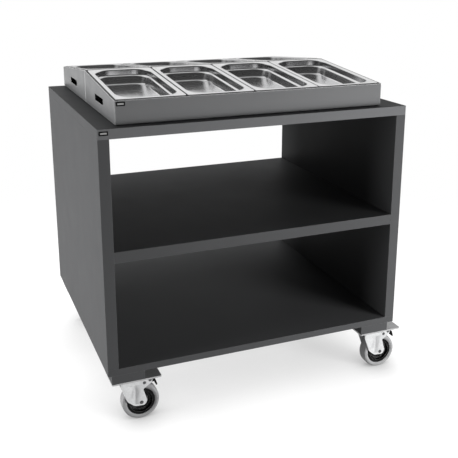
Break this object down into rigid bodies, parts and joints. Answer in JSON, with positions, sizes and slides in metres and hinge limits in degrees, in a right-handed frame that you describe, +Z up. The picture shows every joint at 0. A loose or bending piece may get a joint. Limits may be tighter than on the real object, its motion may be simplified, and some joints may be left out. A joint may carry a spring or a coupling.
{
  "type": "buffet cart",
  "caption": "Open two-bay board cart on swivel castors with pedal brakes, carrying two low lift-off boxes of sloping stainless food pans on its top.",
  "frame": {"origin": "on the floor, at the middle of the bounding box", "axes": "+X to the right along the longer side of the top, +Y to the back, +Z up"},
  "size_m": [0.8654, 0.7, 0.8779],
  "materials": {
    "board": "anthracite laminate, satin",
    "dowel_wood": "plain beech",
    "zinc": "zinc plated",
    "bolt_steel": "dull dark steel",
    "plate_steel": "plain steel plate",
    "wheel_plastic": "moulded, matt",
    "pedal_plastic": "moulded, matt",
    "tyre_rubber": "grey rubber",
    "pad_rubber": "black rubber",
    "box_paint": "anthracite powder coat",
    "pan_steel": "polished and brushed stainless"
  },
  "bodies": {
    "carcass": {"top_panel": "board", "left_side_panel": "board", "right_side_panel": "board", "middle_shelf": "board", "bottom_panel": "board", "panel_dowels": "dowel_wood", "bottom_panel_screws": "zinc", "castor_bolts": "bolt_steel", "swivel_races": "zinc", "kingpins": "zinc", "castor_block_front_left": "board", "castor_block_front_right": "board", "castor_block_rear_left": "board", "castor_block_rear_right": "board", "mounting_plate_front_left": "plate_steel", "mounting_plate_front_right": "plate_steel", "mounting_plate_rear_left": "plate_steel", "mounting_plate_rear_right": "plate_steel", "castor_plate_front_left": "zinc", "castor_plate_front_right": "zinc", "castor_plate_rear_left": "zinc", "castor_plate_rear_right": "zinc"},
    "front_box": {"front_pan_box": "box_paint", "front_box_pads": "pad_rubber"},
    "front_pan_1_body": {"front_pan_1": "pan_steel"},
    "front_pan_2_body": {"front_pan_2": "pan_steel"},
    "front_pan_3_body": {"front_pan_3": "pan_steel"},
    "front_pan_4_body": {"front_pan_4": "pan_steel"},
    "rear_box": {"rear_pan_box": "box_paint", "rear_box_pads": "pad_rubber"},
    "rear_pan_1_body": {"rear_pan_1": "pan_steel"},
    "rear_pan_2_body": {"rear_pan_2": "pan_steel"},
    "rear_pan_3_body": {"rear_pan_3": "pan_steel"},
    "rear_pan_4_body": {"rear_pan_4": "pan_steel"},
    "castor_front_left": {"castor_fork_front_left": "zinc", "axle_bolt_front_left": "bolt_steel", "brake_pins_front_left": "bolt_steel"},
    "wheel_front_left": {"wheel_centre_front_left": "wheel_plastic", "tyre_front_left": "tyre_rubber"},
    "brake_front_left": {"brake_pedal_front_left": "pedal_plastic"},
    "castor_front_right": {"castor_fork_front_right": "zinc", "axle_bolt_front_right": "bolt_steel", "brake_pins_front_right": "bolt_steel"},
    "wheel_front_right": {"wheel_centre_front_right": "wheel_plastic", "tyre_front_right": "tyre_rubber"},
    "brake_front_right": {"brake_pedal_front_right": "pedal_plastic"},
    "castor_rear_left": {"castor_fork_rear_left": "zinc", "axle_bolt_rear_left": "bolt_steel", "brake_pins_rear_left": "bolt_steel"},
    "wheel_rear_left": {"wheel_centre_rear_left": "wheel_plastic", "tyre_rear_left": "tyre_rubber"},
    "brake_rear_left": {"brake_pedal_rear_left": "pedal_plastic"},
    "castor_rear_right": {"castor_fork_rear_right": "zinc", "axle_bolt_rear_right": "bolt_steel", "brake_pins_rear_right": "bolt_steel"},
    "wheel_rear_right": {"wheel_centre_rear_right": "wheel_plastic", "tyre_rear_right": "tyre_rubber"},
    "brake_rear_right": {"brake_pedal_rear_right": "pedal_plastic"}
  },
  "joints": [
    {"name": "front_box_lift", "type": "slide", "parent": "carcass", "child": "front_box", "axis": [0, 0, 1], "range_m": [0, 0.15]},
    {"name": "front_pan_1_lift", "type": "slide", "parent": "front_box", "child": "front_pan_1_body", "axis": [0, -0.0889, 0.996], "range_m": [0, 0.12]},
    {"name": "front_pan_2_lift", "type": "slide", "parent": "front_box", "child": "front_pan_2_body", "axis": [0, -0.0889, 0.996], "range_m": [0, 0.12]},
    {"name": "front_pan_3_lift", "type": "slide", "parent": "front_box", "child": "front_pan_3_body", "axis": [0, -0.0889, 0.996], "range_m": [0, 0.12]},
    {"name": "front_pan_4_lift", "type": "slide", "parent": "front_box", "child": "front_pan_4_body", "axis": [0, -0.0889, 0.996], "range_m": [0, 0.12]},
    {"name": "rear_box_lift", "type": "slide", "parent": "carcass", "child": "rear_box", "axis": [0, 0, 1], "range_m": [0, 0.15]},
    {"name": "rear_pan_1_lift", "type": "slide", "parent": "rear_box", "child": "rear_pan_1_body", "axis": [0, 0.0889, 0.996], "range_m": [0, 0.12]},
    {"name": "rear_pan_2_lift", "type": "slide", "parent": "rear_box", "child": "rear_pan_2_body", "axis": [0, 0.0889, 0.996], "range_m": [0, 0.12]},
    {"name": "rear_pan_3_lift", "type": "slide", "parent": "rear_box", "child": "rear_pan_3_body", "axis": [0, 0.0889, 0.996], "range_m": [0, 0.12]},
    {"name": "rear_pan_4_lift", "type": "slide", "parent": "rear_box", "child": "rear_pan_4_body", "axis": [0, 0.0889, 0.996], "range_m": [0, 0.12]},
    {"name": "front_left_swivel", "type": "hinge", "parent": "carcass", "child": "castor_front_left", "pos_m": [-0.36975, -0.31, 0.112], "axis": [0, 0, 1], "continuous": true},
    {"name": "front_left_roll", "type": "hinge", "parent": "castor_front_left", "child": "wheel_front_left", "pos_m": [-0.34375, -0.31, 0.05], "axis": [0, 1, 0], "continuous": true},
    {"name": "front_left_brake", "type": "hinge", "parent": "castor_front_left", "child": "brake_front_left", "pos_m": [-0.31925, -0.31, 0.1105], "axis": [0, 1, 0], "range_deg": [0, 15]},
    {"name": "front_right_swivel", "type": "hinge", "parent": "carcass", "child": "castor_front_right", "pos_m": [0.35625, -0.31, 0.112], "axis": [0, 0, 1], "continuous": true},
    {"name": "front_right_roll", "type": "hinge", "parent": "castor_front_right", "child": "wheel_front_right", "pos_m": [0.38225, -0.31, 0.05], "axis": [0, 1, 0], "continuous": true},
    {"name": "front_right_brake", "type": "hinge", "parent": "castor_front_right", "child": "brake_front_right", "pos_m": [0.40675, -0.31, 0.1105], "axis": [0, 1, 0], "range_deg": [0, 15]},
    {"name": "rear_left_swivel", "type": "hinge", "parent": "carcass", "child": "castor_rear_left", "pos_m": [-0.36975, 0.31, 0.112], "axis": [0, 0, 1], "continuous": true},
    {"name": "rear_left_roll", "type": "hinge", "parent": "castor_rear_left", "child": "wheel_rear_left", "pos_m": [-0.34375, 0.31, 0.05], "axis": [0, 1, 0], "continuous": true},
    {"name": "rear_left_brake", "type": "hinge", "parent": "castor_rear_left", "child": "brake_rear_left", "pos_m": [-0.31925, 0.31, 0.1105], "axis": [0, 1, 0], "range_deg": [0, 15]},
    {"name": "rear_right_swivel", "type": "hinge", "parent": "carcass", "child": "castor_rear_right", "pos_m": [0.35625, 0.31, 0.112], "axis": [0, 0, 1], "continuous": true},
    {"name": "rear_right_roll", "type": "hinge", "parent": "castor_rear_right", "child": "wheel_rear_right", "pos_m": [0.38225, 0.31, 0.05], "axis": [0, 1, 0], "continuous": true},
    {"name": "rear_right_brake", "type": "hinge", "parent": "castor_rear_right", "child": "brake_rear_right", "pos_m": [0.40675, 0.31, 0.1105], "axis": [0, 1, 0], "range_deg": [0, 15]}
  ]
}
